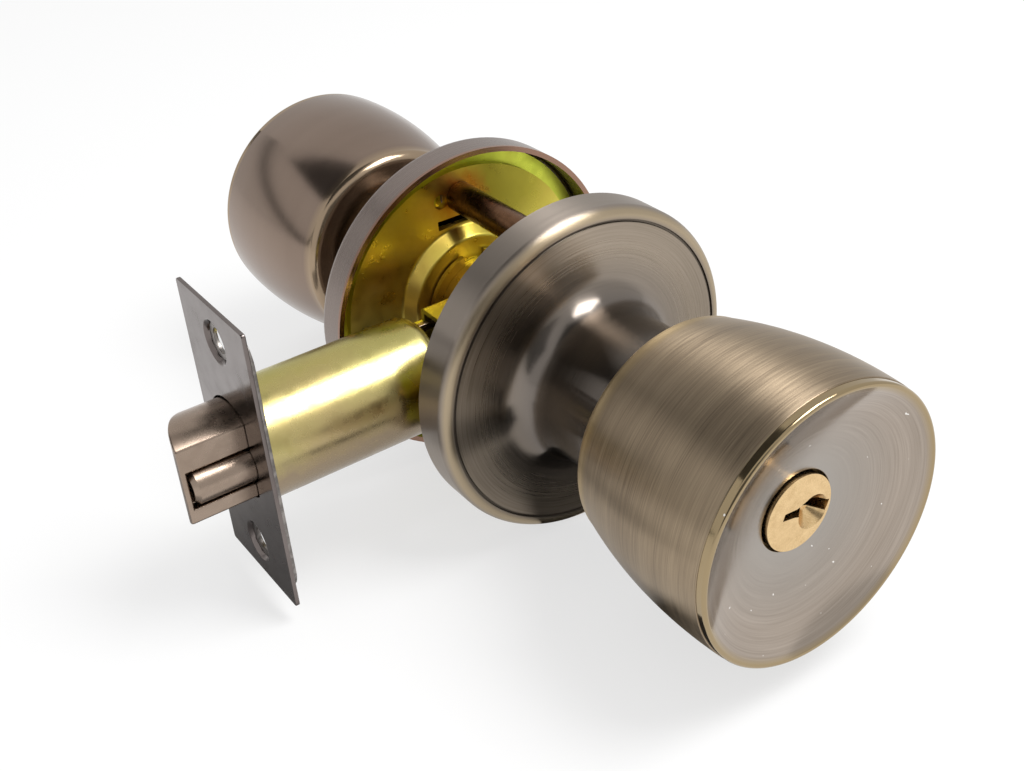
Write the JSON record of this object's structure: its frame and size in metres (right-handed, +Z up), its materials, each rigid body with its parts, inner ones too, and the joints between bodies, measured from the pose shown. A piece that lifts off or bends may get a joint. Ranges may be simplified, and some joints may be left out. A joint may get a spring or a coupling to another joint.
{
  "type": "door knob lockset",
  "caption": "Keyed door knob lockset: two tulip knobs on flared roses turn a winged hub that draws back a round-nosed spring bolt with a half-round plunger.",
  "frame": {"origin": "where the spindle axis and the latch axis cross, in the middle of the door's thickness", "axes": "+Y along the spindle from the keyed outside knob to the inside knob, -X along the latch to the bolt, +Z up"},
  "size_m": [0.104, 0.1586, 0.0634],
  "materials": {
    "aged_brass": "brushed antique brass with polished edges",
    "turned_brass": "fine turned rings",
    "satin_bronze": "satin",
    "bright_brass": "polished",
    "yellow_zinc": "yellow zinc plated, iridescent",
    "satin_nickel": "satin nickel plated",
    "nickel_bronze": "satin bronze plated",
    "copper_plate": "copper plated",
    "steel": "bare",
    "spring_steel": "oiled"
  },
  "bodies": {
    "mounting": {"outside_rose": "aged_brass", "outside_rose_liner": "yellow_zinc", "outside_mounting_plate": "yellow_zinc", "outside_return_spring": "spring_steel", "inside_rose": "satin_bronze", "inside_rose_liner": "yellow_zinc", "inside_mounting_plate": "yellow_zinc", "inside_return_spring": "spring_steel", "mounting_posts": "yellow_zinc", "through_screws": "steel", "faceplate": "satin_nickel", "backplate": "satin_nickel", "latch_tube": "yellow_zinc", "spring_stop": "yellow_zinc", "latch_case": "yellow_zinc", "bolt_spring": "spring_steel"},
    "knob_set": {"outside_knob_shell": "aged_brass", "outside_knob_face": "turned_brass", "outside_sleeve": "yellow_zinc", "outside_retaining_ring": "yellow_zinc", "inside_knob_shell": "satin_bronze", "inside_knob_face": "satin_bronze", "inside_sleeve": "yellow_zinc", "inside_retaining_ring": "yellow_zinc", "drive_spindle": "steel", "key_cylinder": "bright_brass", "driver_pins": "bright_brass", "chamber_cover": "bright_brass", "latch_hub": "steel"},
    "lock_core": {"key_plug": "bright_brass", "plug_clip": "spring_steel", "key_pins": "bright_brass", "locking_bar": "steel", "turn_button": "satin_bronze"},
    "bolt": {"latch_bolt": "nickel_bronze", "retractor_fork": "copper_plate", "plunger_spring": "spring_steel"},
    "plunger": {"deadlatch_plunger": "nickel_bronze"}
  },
  "joints": [
    {"name": "knob_turn", "type": "hinge", "parent": "mounting", "child": "knob_set", "pos_m": [0, 0, 0], "axis": [0, 1, 0], "range_deg": [0, 84], "stiffness_Nm_per_rad": 0.15, "springref_deg": -34.38},
    {"name": "bolt_slide", "type": "slide", "parent": "mounting", "child": "bolt", "axis": [1, 0, 0], "range_m": [0, 0.0125], "stiffness_N_per_m": 300, "springref_m": -0.012, "deforming": ["bolt_spring"]},
    {"name": "key_turn", "type": "hinge", "parent": "knob_set", "child": "lock_core", "pos_m": [0, 0, 0], "axis": [0, 1, 0], "range_deg": [0, 90]},
    {"name": "plunger_slide", "type": "slide", "parent": "bolt", "child": "plunger", "axis": [1, 0, 0], "range_m": [0, 0.007], "stiffness_N_per_m": 150, "springref_m": -0.008, "deforming": ["plunger_spring"]}
  ],
  "couplings": [
    {"joint": "bolt_slide", "follows": "knob_turn", "m_per_rad": 0.0084893}
  ]
}
